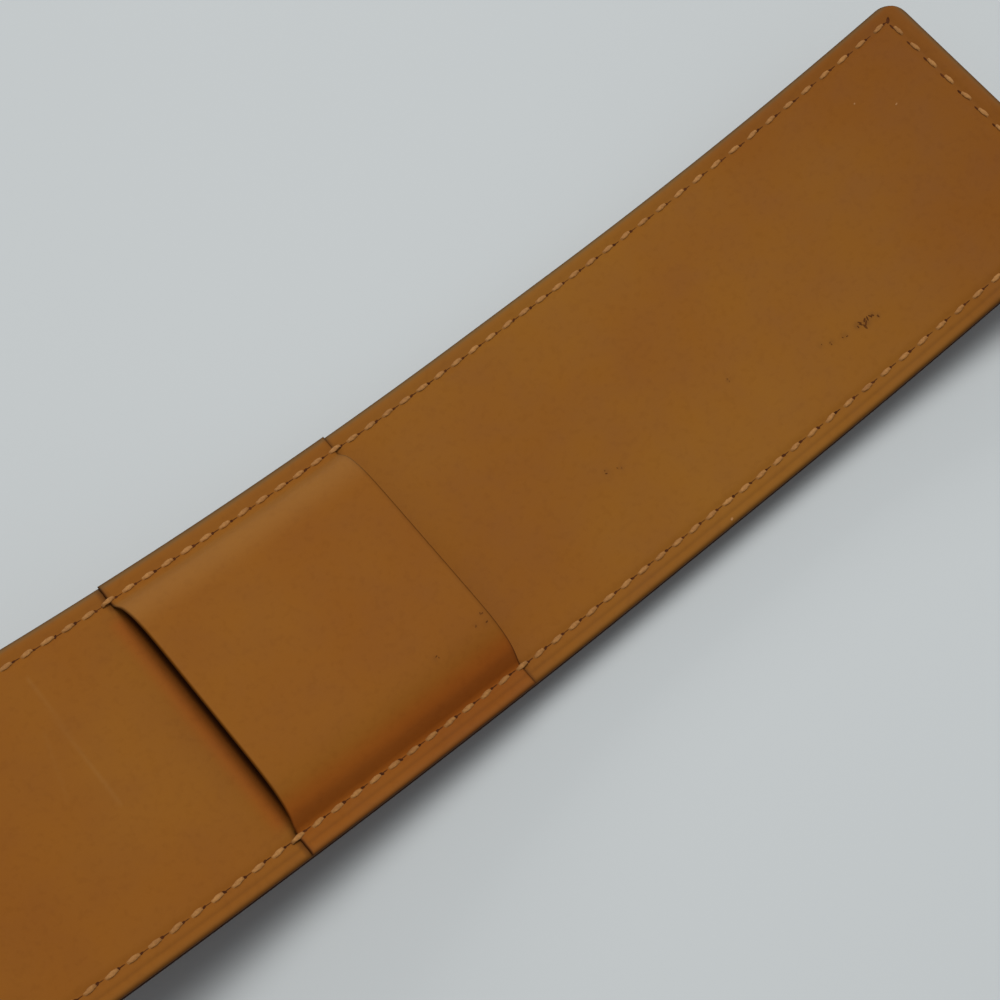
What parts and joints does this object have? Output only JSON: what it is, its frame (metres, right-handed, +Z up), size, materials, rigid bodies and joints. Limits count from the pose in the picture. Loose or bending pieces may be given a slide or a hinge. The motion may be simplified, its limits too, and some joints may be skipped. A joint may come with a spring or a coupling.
{
  "type": "fountain_pen_case",
  "caption": "Slim bowed leather sleeve for a pen, sewn round three sides, with a keeper band across its front and a flap whose tongue tucks under the band",
  "frame": {"origin": "middle of the flat stretch of the pocket floor that rests on the table", "axes": "+X along the case to its sewn end, +Y across it to the far side, +Z up from the table through the front panel"},
  "size_m": [0.2236, 0.04, 0.0263],
  "materials": {
    "tan_leather": "satin",
    "lining_leather": "matte",
    "linen_thread": "matte"
  },
  "bodies": {
    "pouch": {"front_panel": "tan_leather", "back_panel": "tan_leather", "keeper_band": "tan_leather", "far_seam_thread": "linen_thread", "near_seam_thread": "linen_thread", "end_seam_thread": "linen_thread"},
    "spine": {"spine_strip": "tan_leather"},
    "flap": {"flap_panel": "tan_leather", "flap_lining": "lining_leather", "flap_thread": "linen_thread"},
    "tongue": {"tongue_panel": "tan_leather", "tongue_lining": "lining_leather", "tongue_thread": "linen_thread"}
  },
  "joints": [
    {"name": "spine_fold", "type": "hinge", "parent": "pouch", "child": "spine", "pos_m": [-0.10923, 0, 0.01829], "axis": [0, 1, 0], "range_deg": [0, 184.06]},
    {"name": "flap_tuck", "type": "hinge", "parent": "spine", "child": "flap", "pos_m": [-0.11269, 0, 0.00827], "axis": [0, 1, 0], "range_deg": [0, 33.52]},
    {"name": "tongue_flatten", "type": "hinge", "parent": "flap", "child": "tongue", "pos_m": [-0.13736, 0, 0.0005], "axis": [0, 1, 0], "range_deg": [-67.05, 0]}
  ],
  "couplings": [
    {"joint": "tongue_flatten", "follows": "flap_tuck", "ratio": -2}
  ]
}
